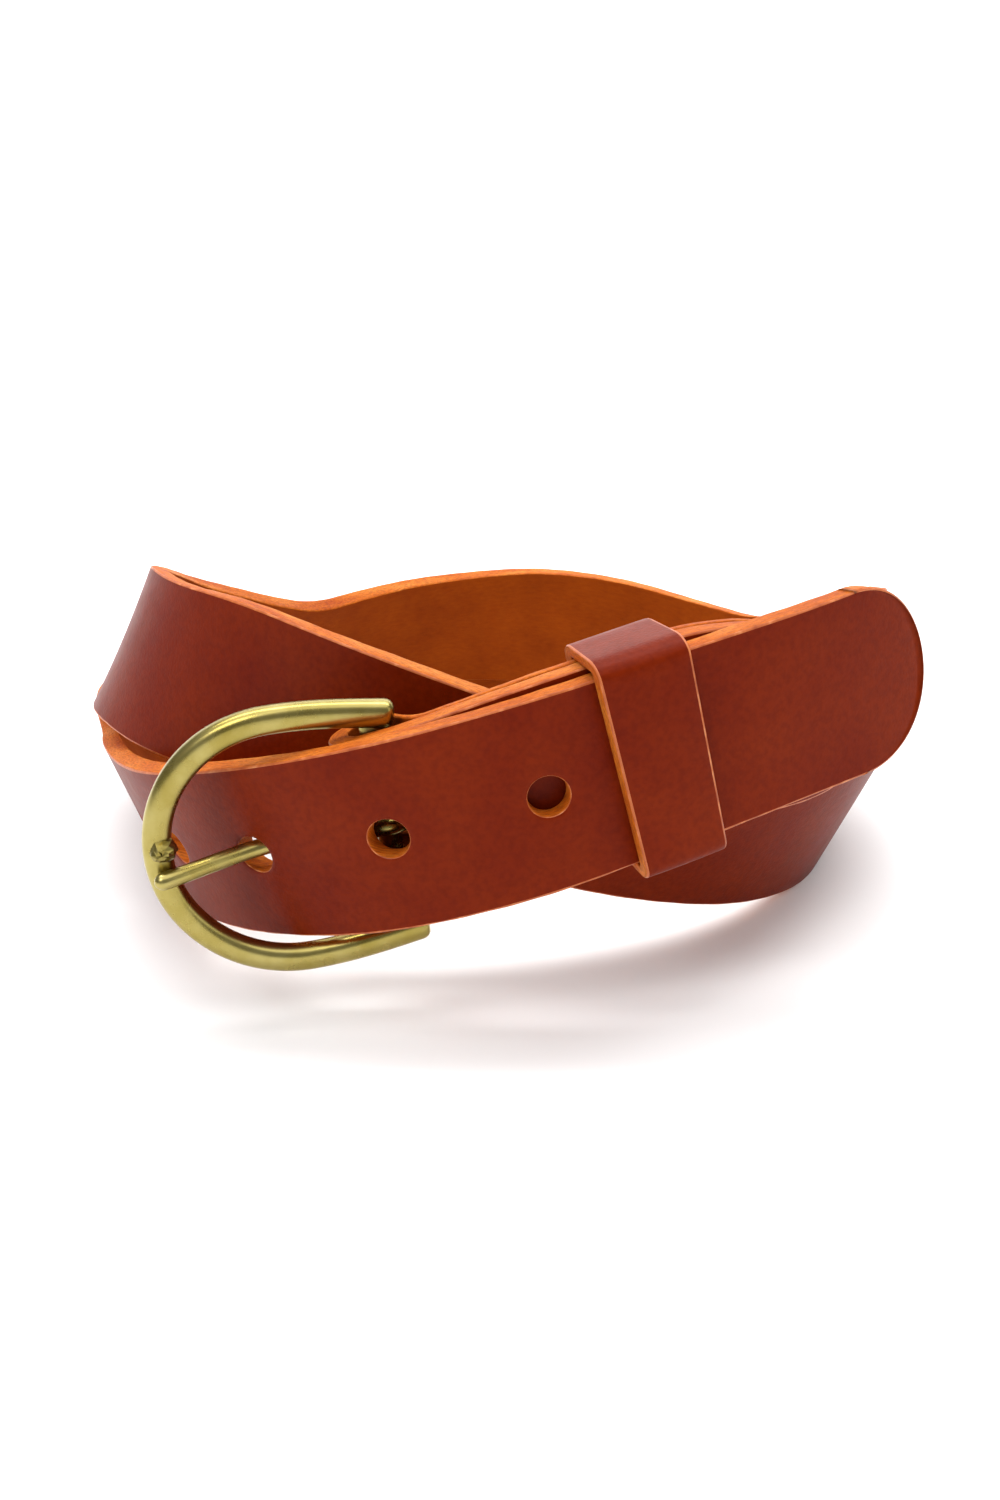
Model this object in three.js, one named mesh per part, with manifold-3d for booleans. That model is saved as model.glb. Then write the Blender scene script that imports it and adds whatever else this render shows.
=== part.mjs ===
// A leather belt, buckled and wound twice round, standing on the lower edges of its strap.
// Millimetres and degrees, +Z up. The coil's axis is Z. Turn angles run anticlockwise seen
// from above: -90 is the front, 0 the right, 90 the back, and a full round adds 360.
import * as THREE from 'three';
import { mergeVertices } from 'three/addons/utils/BufferGeometryUtils.js';
import Module from 'manifold-3d';

// Strap
const STRAP_WIDTH = 31.75;
const STRAP_THICKNESS = 3.7;
const STRAND_GAP = 0.65;
const STRAND_DROP = 0.6; // of the inner strand below the outer one, at the bar
const STRAND_RISE = [-101, -76, 1.4]; // how it climbs again towards the keeper
const STRAP_STEP = 5;
const TIP_LENGTH = 15.5;
const TIP_STEPS = 7;
const TIP_TURN = 683.7;

// Holes, counted from the buckle; the prong sits in the middle one
const HOLE_PITCH = 25.4;
const HOLE_RADIUS = 3.3;
const HOLES_EACH_SIDE = 2;
const PRONG_HOLE_TURN = 605.9;

// Fold round the heel bar
const BAR_BEFORE_HOLE_TWO = 3.9;
const FOLD_LENGTH = 72;
const FOLD_THICKNESS = 1.6;
const FOLD_EASE = [1, 14];
const LAYER_GAP = 0.3;
const NOSE_RADIUS = 3.2;
const NOSE_STEPS = 10;
const FOLD_SKEW = 9;
const SKEW_REACH = 24;
const SLOT_WIDTH = 7;
const SLOT_REACH = [-9, 11];
const SLOT_DEPTH = 10.2;

// Buckle frame, a horseshoe with its heel bar in one piece
const BAR_DIAMETER = 4;
const FRAME_REACH = 37;
const FRAME_WIDEST = 21.2;
const FRAME_HEEL = 19.2;
const FRAME_SHOULDER = 16;
const ARM_OVERHANG = 4;
const FRAME_BAND = 4.6;
const FRAME_DEPTH = 4.2;
const FRAME_CROWN = 0.62; // crown of the band's front, as a share of its depth
const FRAME_TILT = 11;
const FRAME_SWING = 22;
const FRAME_DROP = 0.6;
const BAR_SET_BACK = 1.8;
const NUB_RADIUS = 2.3;
const NUB_PLACE = [36, 2.7, 1.1];

// Prong
const PRONG_DIAMETER = 2.9;
const EYE_CLEARANCE = 0.3;
const PRONG_DROP = 1.4;
const PRONG_STEPS = 24;
const PASSAGE_STEPS = [11, 22]; // steps of the prong that lie near its hole
const PRONG_CLEARANCE = 0.45;
const PRONG_OVERHANG = -0.8;
const PRONG_ENTRY = [0.8, 0.4, -0.5];

// Keeper, a leather loop closed at the back by a staple
const KEEPER_START = 61.6;
const KEEPER_WIDTH = 15.9;
const KEEPER_THICKNESS = 3.2;
const KEEPER_TOP_THICKNESS = 1.9;
const KEEPER_CLEARANCE = 0.45;
const KEEPER_CORNER = 0.8;
const STAPLE_LENGTH = 8;
const STAPLE_WIRE = 0.8;

// Screw studs that hold the fold closed
const STUD_PLACES = [19, 64];
const STUD_HEAD_RADIUS = 4.2;
const STUD_HEAD_THICKNESS = 0.9;
const POST_RADIUS = 2.5;
const SHANK_RADIUS = 1.6;
const STUD_CLEARANCE = 0.3;
const HEAD_CLEARANCE = 0.5;

// The strap's middle line. Each change is [from turn, to turn, amount], eased in between.
const START_HEIGHT = 49.5;
const HEIGHT_CHANGES = [
  [-30, 35, -26.5], // down from the buckle on the right
  [35, 80, 5], // along the back, on the inside of the lower turn
  [126, 204, 21.2], // up to the crest on the left
  [222, 350, -34.7], // down across the front to the table
  [547, 700, 43.5], // up from the table to the free tip
];
const START_RADIUS = 82.5;
const RADIUS_CHANGES = [
  [-40, 30, -6.5],
  [55, 155, -14], // bend at the back left
  [150, 180, 7.8],
  [185, 240, -5.8],
  [275, 375, 19], // out to the lower turn
  [514, 553, -13.2], // bend of the lower turn
  [560, 628, 15.2],
  [645, 740, 28], // the free end straightens
];
const START_LEAN = 3;
const LEAN_CHANGES = [
  [-55, 10, -11],
  [20, 150, 44], // top inwards on the upper turn
  [140, 340, -60], // top outwards on the lower turn
  [360, 430, 6],
  [480, 515, -6],
  [525, 585, 6],
  [585, 640, 20],
  [665, 700, 13],
];
// Where the coil's axis stands, so that the origin is under the middle of the whole belt.
const COIL_CENTRE = [-2.45, -1.3];
// Turns between which the inner strand leaves the outer one's path for its own.
const FOLLOW_END = -74;
const OWN_START = -48;

const wasm = await Module();
wasm.setup();

const radians = THREE.MathUtils.degToRad;

// A value that starts level and takes each eased change in turn.
function eased(start, changes, turn) {
  const take = (value, [from, to, amount]) =>
    value + amount * THREE.MathUtils.smoothstep(turn, from, to);
  return changes.reduce(take, start);
}

function ownRoute(turn) {
  return [
    eased(START_RADIUS, RADIUS_CHANGES, turn),
    eased(START_HEIGHT, HEIGHT_CHANGES, turn),
    eased(START_LEAN, LEAN_CHANGES, turn),
  ];
}

// Radius, height and lean at a turn angle. The buckled inner strand runs under the outer one.
function route(turn) {
  const own = ownRoute(turn);
  if (turn >= OWN_START) return own;
  const outer = ownRoute(turn + 720);
  outer[0] -= STRAP_THICKNESS + STRAND_GAP;
  outer[1] += eased(-STRAND_DROP, [STRAND_RISE], turn);
  const mix = THREE.MathUtils.smootherstep(turn, FOLLOW_END, OWN_START);
  return outer.map((value, i) => THREE.MathUtils.lerp(value, own[i], mix));
}

function middle(turn) {
  const [radius, height] = route(turn);
  const angle = radians(turn);
  return new THREE.Vector3(
    COIL_CENTRE[0] + radius * Math.cos(angle),
    COIL_CENTRE[1] + radius * Math.sin(angle),
    height,
  );
}

// Local axes of the strap at a turn angle: along it, across its width, and out of its grain face.
function axesAt(turn) {
  const along = middle(turn + 0.5).sub(middle(turn - 0.5)).normalize();
  const angle = radians(turn);
  const lean = radians(route(turn)[2]);
  const across = new THREE.Vector3(
    -Math.sin(lean) * Math.cos(angle),
    -Math.sin(lean) * Math.sin(angle),
    Math.cos(lean),
  );
  across.addScaledVector(along, -across.dot(along)).normalize();
  return { along, across, out: along.clone().cross(across) };
}

// Length along the strap's middle line, tabulated once a degree.
const FIRST_TURN = -130;
const lengths = [0];
for (let turn = FIRST_TURN; turn < TIP_TURN + 5; turn++) {
  lengths.push(lengths.at(-1) + middle(turn).distanceTo(middle(turn + 1)));
}

function lengthAt(turn) {
  const whole = Math.floor(turn - FIRST_TURN);
  const part = turn - FIRST_TURN - whole;
  return THREE.MathUtils.lerp(lengths[whole], lengths[whole + 1], part);
}

function turnAt(length) {
  let i = 1;
  while (i < lengths.length - 1 && lengths[i] < length) i++;
  return FIRST_TURN + i - 1 + (length - lengths[i - 1]) / (lengths[i] - lengths[i - 1]);
}

// A point of the strap's own space: along its length, across its width, out of its middle.
function place(length, across, out) {
  const turn = turnAt(length);
  const axes = axesAt(turn);
  return middle(turn).addScaledVector(axes.across, across).addScaledVector(axes.out, out);
}

// Closed surface through rings of points, with flat ends unless the rings close on themselves.
function loft(rings, closed = false) {
  const size = rings[0].length;
  const vertices = rings.flat();
  const faces = [];
  const bands = closed ? rings.length : rings.length - 1;
  for (let i = 0; i < bands; i++) {
    const here = i * size;
    const next = ((i + 1) % rings.length) * size;
    for (let k = 0; k < size; k++) {
      const k2 = (k + 1) % size;
      faces.push(here + k, here + k2, next + k2, here + k, next + k2, next + k);
    }
  }
  const end = (rings.length - 1) * size;
  for (let k = 1; k < size - 1 && !closed; k++) {
    faces.push(0, k + 1, k, end, end + k, end + k + 1);
  }
  const geometry = new THREE.BufferGeometry().setFromPoints(vertices);
  geometry.setIndex(faces);
  return signedVolume(geometry) < 0 ? turnedInsideOut(geometry) : geometry;
}

function signedVolume(geometry) {
  const index = geometry.index.array;
  const corner = (i) => new THREE.Vector3().fromBufferAttribute(geometry.attributes.position, index[i]);
  let volume = 0;
  for (let i = 0; i < index.length; i += 3) volume += corner(i).dot(corner(i + 1).cross(corner(i + 2))) / 6;
  return volume;
}

function turnedInsideOut(geometry) {
  geometry.setIndex([...geometry.index.array].reverse());
  return geometry;
}

function solid(geometry) {
  const bare = geometry.clone();
  bare.deleteAttribute('normal');
  bare.deleteAttribute('uv');
  const merged = mergeVertices(bare, 1e-4);
  const mesh = new wasm.Mesh({
    numProp: 3,
    vertProperties: merged.attributes.position.array,
    triVerts: new Uint32Array(merged.index.array),
  });
  return new wasm.Manifold(mesh);
}

function geometryOf(manifold) {
  const mesh = manifold.getMesh();
  const geometry = new THREE.BufferGeometry();
  geometry.setAttribute('position', new THREE.BufferAttribute(mesh.vertProperties, 3));
  geometry.setIndex(new THREE.BufferAttribute(mesh.triVerts, 1));
  return geometry.toNonIndexed();
}

// Cylinder between two points.
function rod(from, to, radius, sides = 20) {
  const geometry = new THREE.CylinderGeometry(radius, radius, from.distanceTo(to), sides);
  const axis = to.clone().sub(from).normalize();
  geometry.applyQuaternion(new THREE.Quaternion().setFromUnitVectors(new THREE.Vector3(0, 1, 0), axis));
  return geometry.translate(...from.clone().add(to).multiplyScalar(0.5));
}

// Where things sit along the strap.
const prongHole = lengthAt(PRONG_HOLE_TURN);
const barOuter = prongHole + HOLE_PITCH - BAR_BEFORE_HOLE_TWO;
const barInner = lengthAt(turnAt(barOuter) - 720);
const strapEnd = lengthAt(TIP_TURN);
const BAR_BEHIND_INNER = STRAP_THICKNESS / 2 + NOSE_RADIUS;
const barAxes = axesAt(turnAt(barInner));
const barCentre = place(barInner, -FRAME_DROP, -BAR_BEHIND_INNER);
const noseCentre = place(barInner, 0, -BAR_BEHIND_INNER);

// ---- Strap ----

const half = STRAP_WIDTH / 2;

// Offset along the strap that turns the nose of the fold towards the heel bar.
function skew(fromBar, across) {
  const fade = 1 - THREE.MathUtils.smoothstep(Math.abs(fromBar), 0, SKEW_REACH);
  return across * Math.tan(radians(FOLD_SKEW)) * fade;
}

function ring(point, halfWidth, inner, outer) {
  return [
    point(-halfWidth, inner),
    point(halfWidth, inner),
    point(halfWidth, outer),
    point(-halfWidth, outer),
  ];
}

// The thin end folded back behind the inner strand, from its end towards the bar.
function foldRings() {
  const near = -(STRAP_THICKNESS / 2 + LAYER_GAP);
  const far = -(STRAP_THICKNESS / 2 + 2 * NOSE_RADIUS);
  const rings = [];
  for (let s = FOLD_LENGTH; s > 0; s -= s > SKEW_REACH ? STRAP_STEP + 1 : 3) {
    const face = THREE.MathUtils.lerp(far, near, THREE.MathUtils.smootherstep(s, FOLD_EASE[0], FOLD_EASE[1]));
    const point = (v, n) => place(barInner + s + skew(s, v), v, n);
    rings.push(ring(point, half, face - FOLD_THICKNESS, face));
  }
  return rings;
}

// The half round over the heel bar, thickening from the thin end to the full strap.
function noseRings() {
  const rings = [];
  for (let i = 0; i <= NOSE_STEPS; i++) {
    const share = i / NOSE_STEPS;
    const angle = radians(270 - 180 * share);
    const thickness = THREE.MathUtils.lerp(FOLD_THICKNESS, STRAP_THICKNESS, Math.sin((share * Math.PI) / 2));
    const point = (v, depth) =>
      noseCentre
        .clone()
        .addScaledVector(barAxes.across, v)
        .addScaledVector(barAxes.along, (NOSE_RADIUS + depth) * Math.cos(angle) + skew(0, v))
        .addScaledVector(barAxes.out, (NOSE_RADIUS + depth) * Math.sin(angle));
    rings.push(ring(point, half, thickness, 0));
  }
  return rings;
}

// Full-thickness strap from the nose to the start of the rounded tip.
function bodyRings() {
  const rings = [];
  const depth = STRAP_THICKNESS / 2;
  const end = strapEnd - TIP_LENGTH;
  const count = Math.round((end - barInner - 3) / STRAP_STEP);
  for (let i = 0; i <= count; i++) {
    const s = barInner + 3 + ((end - barInner - 3) * i) / count;
    rings.push(ring((v, n) => place(s + skew(s - barInner, v), v, n), half, depth, -depth));
  }
  return rings;
}

function tipRings() {
  const rings = [];
  const depth = STRAP_THICKNESS / 2;
  for (let i = 1; i <= TIP_STEPS; i++) {
    const angle = (i / (TIP_STEPS + 0.4)) * (Math.PI / 2);
    const s = strapEnd - TIP_LENGTH * (1 - Math.sin(angle));
    rings.push(ring((v, n) => place(s, v, n), half * Math.cos(angle), depth, -depth));
  }
  return rings;
}

// The rings stand with their lower edge flat on the table where they reach it.
function strapGeometry() {
  const rings = [...foldRings(), ...noseRings(), ...bodyRings(), ...tipRings()];
  for (const point of rings.flat()) point.z = Math.max(point.z, 0);
  return loft(rings);
}

function punch(length) {
  const reach = STRAP_THICKNESS / 2 + STRAND_GAP * 0.7;
  return solid(rod(place(length, 0, -reach), place(length, 0, reach + 1), HOLE_RADIUS));
}

// Slot through both layers of the fold, for the eye of the prong.
function foldSlot() {
  const front = STRAP_THICKNESS / 2 + STRAND_GAP / 2;
  const rings = [];
  for (let s = SLOT_REACH[0]; s <= SLOT_REACH[1]; s += 4) {
    rings.push(ring((v, n) => place(barInner + s, v, n), SLOT_WIDTH / 2, -SLOT_DEPTH, front));
  }
  return solid(loft(rings));
}

// ---- Buckle frame ----

const frameAxes = (() => {
  const far = barAxes.along.clone().negate();
  const up = barAxes.across.clone();
  const out = barAxes.out.clone();
  far.applyAxisAngle(barAxes.out, -radians(FRAME_TILT));
  up.applyAxisAngle(barAxes.out, -radians(FRAME_TILT));
  const swing = radians(FRAME_SWING);
  const farther = far.clone().multiplyScalar(Math.cos(swing)).addScaledVector(out, Math.sin(swing));
  const outer = out.clone().multiplyScalar(Math.cos(swing)).addScaledVector(far, -Math.sin(swing));
  return { far: farther, up, out: outer };
})();

function framePoint(far, up, out) {
  return barCentre
    .clone()
    .addScaledVector(frameAxes.far, far)
    .addScaledVector(frameAxes.up, up)
    .addScaledVector(frameAxes.out, out + BAR_SET_BACK);
}

// Middle line of the horseshoe in the frame's own plane, from the upper arm's end round to the lower.
function horseshoe(armSteps = 6, bowSteps = 24) {
  const points = [];
  for (let i = 0; i < armSteps; i++) {
    const share = i / armSteps;
    const far = THREE.MathUtils.lerp(-ARM_OVERHANG, FRAME_SHOULDER, share);
    const up = THREE.MathUtils.lerp(FRAME_HEEL, FRAME_WIDEST, Math.sin((share * Math.PI) / 2));
    points.push(new THREE.Vector2(far, up));
  }
  const bow = FRAME_REACH - FRAME_SHOULDER;
  for (let i = 0; i <= bowSteps; i++) {
    const angle = (i / bowSteps) * Math.PI;
    points.push(new THREE.Vector2(FRAME_SHOULDER + bow * Math.sin(angle), FRAME_WIDEST * Math.cos(angle)));
  }
  const mirrored = points.slice(0, armSteps).reverse();
  return points.concat(mirrored.map((p) => new THREE.Vector2(p.x, -p.y)));
}

// Half-round section: a flat back and a crowned front.
function bandSection() {
  const points = [
    [-0.5, -0.5],
    [0.5, -0.5],
  ];
  for (let i = 0; i <= 6; i++) {
    const angle = (i / 6) * Math.PI;
    points.push([0.5 * Math.cos(angle), FRAME_CROWN * Math.sin(angle) + 0.5 - FRAME_CROWN]);
  }
  return points.map(([side, front]) => [side * FRAME_BAND, front * FRAME_DEPTH]);
}

function buckleFrame() {
  const line = horseshoe();
  const section = bandSection();
  const rings = line.map((point, i) => {
    const before = line[Math.max(i - 1, 0)];
    const after = line[Math.min(i + 1, line.length - 1)];
    const along = after.clone().sub(before).normalize();
    const side = new THREE.Vector2(along.y, -along.x);
    return section.map(([a, b]) => framePoint(point.x + side.x * a, point.y + side.y * a, b));
  });
  const barEnds = [1, -1].map((side) => framePoint(0, side * FRAME_HEEL, -BAR_SET_BACK));
  const bar = rod(...barEnds, BAR_DIAMETER / 2);
  const nub = new THREE.SphereGeometry(NUB_RADIUS, 12, 8).translate(...framePoint(...NUB_PLACE));
  return geometryOf(solid(loft(rings)).add(solid(bar)).add(solid(nub)));
}

// ---- Prong ----

const eyeRadius = BAR_DIAMETER / 2 + EYE_CLEARANCE + PRONG_DIAMETER / 2;
const restHeight = FRAME_DEPTH / 2 + PRONG_DIAMETER / 2 + 0.3;
const prongTip = framePoint(FRAME_REACH + PRONG_OVERHANG, -PRONG_DROP, restHeight);

// From the open end of the eye, round the bar, out through the hole and onto the frame.
function prongCurve() {
  const bar = frameAxes.up;
  const centre = barCentre.clone().addScaledVector(bar, FRAME_DROP);
  const hole = place(prongHole + PRONG_ENTRY[0], PRONG_ENTRY[1], PRONG_ENTRY[2]);
  const towards = hole.clone().sub(centre);
  towards.addScaledVector(bar, -bar.dot(towards)).normalize();
  const lift = bar.clone().cross(towards);
  const around = (angle) =>
    centre
      .clone()
      .addScaledVector(towards, -Math.cos(radians(angle)) * eyeRadius)
      .addScaledVector(lift, Math.sin(radians(angle)) * eyeRadius);
  const points = [];
  for (let angle = -170; angle <= 90; angle += 20) points.push(around(angle));
  points.push(hole.clone().lerp(around(90), 0.45), hole, prongTip);
  return new THREE.CatmullRomCurve3(points);
}

function tube(points, radius, sides = 12) {
  const shape = new THREE.Shape().absarc(0, 0, radius, 0, 2 * Math.PI);
  return new THREE.ExtrudeGeometry(shape, {
    steps: points.length * 2,
    curveSegments: sides,
    extrudePath: new THREE.CatmullRomCurve3(points),
    bevelEnabled: false,
  });
}

function prong() {
  const radius = PRONG_DIAMETER / 2;
  const end = new THREE.SphereGeometry(radius, 16, 10).translate(...prongTip);
  return geometryOf(solid(tube(prongCurve().getSpacedPoints(PRONG_STEPS), radius)).add(solid(end)));
}

// The prong lies slantwise in its hole, so the hole is opened along it.
function prongPassage() {
  const points = prongCurve().getSpacedPoints(PRONG_STEPS).slice(...PASSAGE_STEPS);
  return solid(tube(points, PRONG_DIAMETER / 2 + PRONG_CLEARANCE));
}

// ---- Keeper and staple ----

const keeperFront = STRAP_THICKNESS / 2 + KEEPER_CLEARANCE;
const keeperBack = -(STRAP_THICKNESS * 1.5 + STRAND_GAP + LAYER_GAP + FOLD_THICKNESS + KEEPER_CLEARANCE);
const keeperRise = (STRAND_RISE[2] - STRAND_DROP) / 2;
const keeperHalf = half + keeperRise + KEEPER_CLEARANCE;

// Rounded rectangle in the strap's cross-section, grown across the strap's width and out of its face.
function loopOutline(growAcross, growOut) {
  const reach = keeperHalf - KEEPER_CORNER;
  const corners = [
    [reach, keeperFront - KEEPER_CORNER, 0],
    [-reach, keeperFront - KEEPER_CORNER, 90],
    [-reach, keeperBack + KEEPER_CORNER, 180],
    [reach, keeperBack + KEEPER_CORNER, 270],
  ];
  const points = [];
  for (const [across, out, from] of corners) {
    for (let i = 0; i <= 3; i++) {
      const angle = radians(from + 30 * i);
      points.push([
        across + keeperRise + (KEEPER_CORNER + growAcross) * Math.cos(angle),
        out + (KEEPER_CORNER + growOut) * Math.sin(angle),
      ]);
    }
    const flat = points.at(-1);
    if (from === 0 || from === 180) {
      for (const share of [0.25, 0.5, 0.75]) points.push([flat[0] * (1 - 2 * share), flat[1]]);
    }
  }
  return points;
}

function keeper() {
  const inner = loopOutline(0, 0);
  const outer = loopOutline(KEEPER_TOP_THICKNESS, KEEPER_THICKNESS);
  const start = prongHole + KEEPER_START;
  const rings = inner.map((_, i) => [
    place(start, ...inner[i]),
    place(start + KEEPER_WIDTH, ...inner[i]),
    place(start + KEEPER_WIDTH, ...outer[i]),
    place(start, ...outer[i]),
  ]);
  let body = solid(loft(rings, true));
  for (const leg of [-1, 1]) body = body.subtract(solid(stapleLeg(leg, STAPLE_WIRE / 2 + 0.3, 1)));
  return geometryOf(body);
}

const stapleOut = keeperBack - KEEPER_THICKNESS - 0.3 - STAPLE_WIRE / 2;
const keeperMiddle = prongHole + KEEPER_START + KEEPER_WIDTH / 2;

function stapleLeg(side, radius, reach) {
  const across = (side * (STAPLE_LENGTH - STAPLE_WIRE)) / 2;
  const from = place(keeperMiddle, across, stapleOut);
  return rod(from, place(keeperMiddle, across, keeperBack - 0.5 + reach), radius, 8);
}

function staple() {
  const ends = [-1, 1].map((side) => place(keeperMiddle, (side * STAPLE_LENGTH) / 2, stapleOut));
  let wire = solid(rod(ends[0], ends[1], STAPLE_WIRE / 2, 8));
  for (const side of [-1, 1]) wire = wire.add(solid(stapleLeg(side, STAPLE_WIRE / 2, 0)));
  return geometryOf(wire);
}

// ---- Screw studs ----

const studFront = STRAP_THICKNESS / 2;
const studBack = -(STRAP_THICKNESS / 2 + LAYER_GAP + FOLD_THICKNESS);

function studRod(fromBar, radius, inner, outer, sides = 24) {
  const length = barInner + fromBar;
  return solid(rod(place(length, 0, inner), place(length, 0, outer), radius, sides));
}

// Tube with a flat cap, let into the front of the inner strand.
function studPost(fromBar) {
  const cap = studRod(fromBar, STUD_HEAD_RADIUS, studFront - STUD_HEAD_THICKNESS, studFront);
  const tubeEnd = studBack + 0.2;
  const barrel = studRod(fromBar, POST_RADIUS, tubeEnd, studFront - STUD_HEAD_THICKNESS + 0.1);
  const bore = studRod(fromBar, SHANK_RADIUS + STUD_CLEARANCE, tubeEnd - 1, studFront - STUD_HEAD_THICKNESS);
  return geometryOf(cap.add(barrel).subtract(bore));
}

function studScrew(fromBar) {
  const headTop = studBack - HEAD_CLEARANCE;
  const head = studRod(fromBar, STUD_HEAD_RADIUS, headTop - STUD_HEAD_THICKNESS, headTop);
  const shankEnd = studFront - STUD_HEAD_THICKNESS - STUD_CLEARANCE;
  const shank = studRod(fromBar, SHANK_RADIUS, headTop - 0.1, shankEnd);
  return geometryOf(head.add(shank));
}

function studHoles() {
  return STUD_PLACES.flatMap((fromBar) => [
    studRod(fromBar, POST_RADIUS + STUD_CLEARANCE, studBack - 2, studFront + 0.2),
    studRod(
      fromBar,
      STUD_HEAD_RADIUS + STUD_CLEARANCE,
      studFront - STUD_HEAD_THICKNESS - STUD_CLEARANCE,
      studFront + STRAND_GAP / 2,
    ),
  ]);
}

function strap() {
  let body = solid(strapGeometry());
  for (let i = -HOLES_EACH_SIDE; i <= HOLES_EACH_SIDE; i++) {
    body = body.subtract(punch(prongHole + i * HOLE_PITCH));
  }
  body = body.subtract(foldSlot()).subtract(prongPassage());
  for (const hole of studHoles()) body = body.subtract(hole);
  return geometryOf(body);
}

// ---- Assembly ----

const grain = { color: 0x8a3a1c, roughness: 0.45, metalness: 0 };
const brass = { color: 0xb9a650, roughness: 0.3, metalness: 1 };
const steel = { color: 0xb8b8b8, roughness: 0.35, metalness: 1 };

function part(name, geometry, finish) {
  const mesh = new THREE.Mesh(geometry, new THREE.MeshStandardMaterial(finish));
  mesh.name = name;
  return mesh;
}

const belt = new THREE.Group();
belt.add(part('strap', strap(), grain));
belt.add(part('buckle_frame', buckleFrame(), brass));
belt.add(part('prong', prong(), brass));
belt.add(part('keeper', keeper(), grain));
belt.add(part('keeper_staple', staple(), steel));
['front', 'rear'].forEach((which, i) => {
  belt.add(part(`${which}_post`, studPost(STUD_PLACES[i]), brass));
  belt.add(part(`${which}_screw`, studScrew(STUD_PLACES[i]), brass));
});

export default belt;
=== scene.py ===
import math

import bpy
import numpy as np
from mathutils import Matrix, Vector


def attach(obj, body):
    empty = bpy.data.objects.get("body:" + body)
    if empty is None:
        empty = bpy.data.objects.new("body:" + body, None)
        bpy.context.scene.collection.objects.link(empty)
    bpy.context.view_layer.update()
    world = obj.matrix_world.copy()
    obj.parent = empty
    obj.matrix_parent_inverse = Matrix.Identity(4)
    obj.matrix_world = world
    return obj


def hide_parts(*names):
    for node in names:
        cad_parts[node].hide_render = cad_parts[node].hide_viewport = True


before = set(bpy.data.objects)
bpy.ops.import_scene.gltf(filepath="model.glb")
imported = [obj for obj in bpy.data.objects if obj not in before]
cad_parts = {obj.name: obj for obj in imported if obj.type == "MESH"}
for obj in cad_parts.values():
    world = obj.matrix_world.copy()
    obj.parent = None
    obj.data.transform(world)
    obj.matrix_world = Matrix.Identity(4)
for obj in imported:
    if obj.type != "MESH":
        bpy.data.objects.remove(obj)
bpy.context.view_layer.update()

MM = 0.001

# ---- Sizes. They are the frame's, except where a comment says otherwise ----

STRAP_WIDTH = 31.75
STRAP_THICKNESS = 3.7
STRAND_GAP = 0.65
STRAND_DROP = 0.6
STRAND_RISE = (-101, -76, 1.4)
TIP_LENGTH = 15.5
TIP_TURN = 683.7

HOLE_PITCH = 25.4
HOLE_RADIUS = 3.3
HOLES_EACH_SIDE = 2
PRONG_HOLE_TURN = 605.9
PRONG_HOLE_STRETCH = 0.6  # visible strap only, where the solid has a passage for the prong

BAR_BEFORE_HOLE_TWO = 3.9
FOLD_LENGTH = 72
FOLD_THICKNESS = 1.6
FOLD_EASE = (1, 14)
LAYER_GAP = 0.3
NOSE_RADIUS = 3.2
FOLD_SKEW = 9
SKEW_REACH = 24
SLOT_REACH = 9  # the visible slot for the prong's eye; the solid's runs from -9 to 11
SLOT_HALF_COLUMNS = 4

BAR_DIAMETER = 4
FRAME_REACH = 37
FRAME_WIDEST = 21.2
FRAME_HEEL = 19.2
FRAME_SHOULDER = 16
ARM_OVERHANG = 4
ARM_CAP = 1.6
FRAME_BAND = 4.6
FRAME_DEPTH = 4.2
FRAME_TILT = 11
FRAME_SWING = 22
FRAME_DROP = 0.6
BAR_SET_BACK = 1.8
NUB_RADIUS = 2.3
NUB_PLACE = (35.6, 2.9, 1.5)  # visible stub only; the solid's ball is at (36, 2.7, 1.1)

PRONG_DIAMETER = 2.9
PRONG_SIDES = 28
EYE_CLEARANCE = 0.3
PRONG_DROP = 1.4
PRONG_OVERHANG = -0.8
PRONG_ENTRY = (0.8, 0.4, -0.5)
PRONG_REST = 0.3  # gap between the prong's tip and the frame

KEEPER_START = 61.6
KEEPER_WIDTH = 15.9
KEEPER_THICKNESS = 3.2
KEEPER_TOP_THICKNESS = 1.9
KEEPER_RISE = (STRAND_RISE[2] - STRAND_DROP) / 2
KEEPER_CLEARANCE = 0.45
KEEPER_CORNER = 0.8
KEEPER_BULGE = 0.5  # visible loop only
KEEPER_TRIM = 1.7  # the visible loop stops this far short of its solid, on the side of the tip

# The strap's middle line. Each change is (from turn, to turn, amount), eased in between.
START_HEIGHT = 49.5
HEIGHT_CHANGES = [
    (-62, -40, -2),  # visible strap only: the inner strand dips behind the free tip
    (-25, 20, 2),
    (-30, 35, -26.5),  # down from the buckle on the right
    (35, 80, 5),  # along the back, on the inside of the lower turn
    (126, 204, 21.2),  # up to the crest on the left
    (222, 350, -34.7),  # down across the front to the table
    (547, 700, 43.5),  # up from the table to the free tip
]
START_RADIUS = 82.5
RADIUS_CHANGES = [
    (-40, 30, -6.5),
    (55, 155, -14),  # bend at the back left
    (150, 180, 7.8),
    (185, 240, -5.8),
    (275, 375, 19),  # out to the lower turn
    (514, 553, -13.2),  # bend of the lower turn
    (560, 628, 15.2),
    (645, 740, 28),  # the free end straightens
]
START_LEAN = 3
LEAN_CHANGES = [
    (-55, 10, -11),
    (20, 150, 44),  # top inwards on the upper turn
    (140, 340, -60),  # top outwards on the lower turn
    (360, 430, 6),
    (480, 515, -6),
    (525, 585, 6),
    (585, 640, 20),
    (665, 700, 13),
]
COIL_CENTRE = (-2.45, -1.3)
FOLLOW_END = -74
OWN_START = -48
FIRST_TURN = -130

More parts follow.
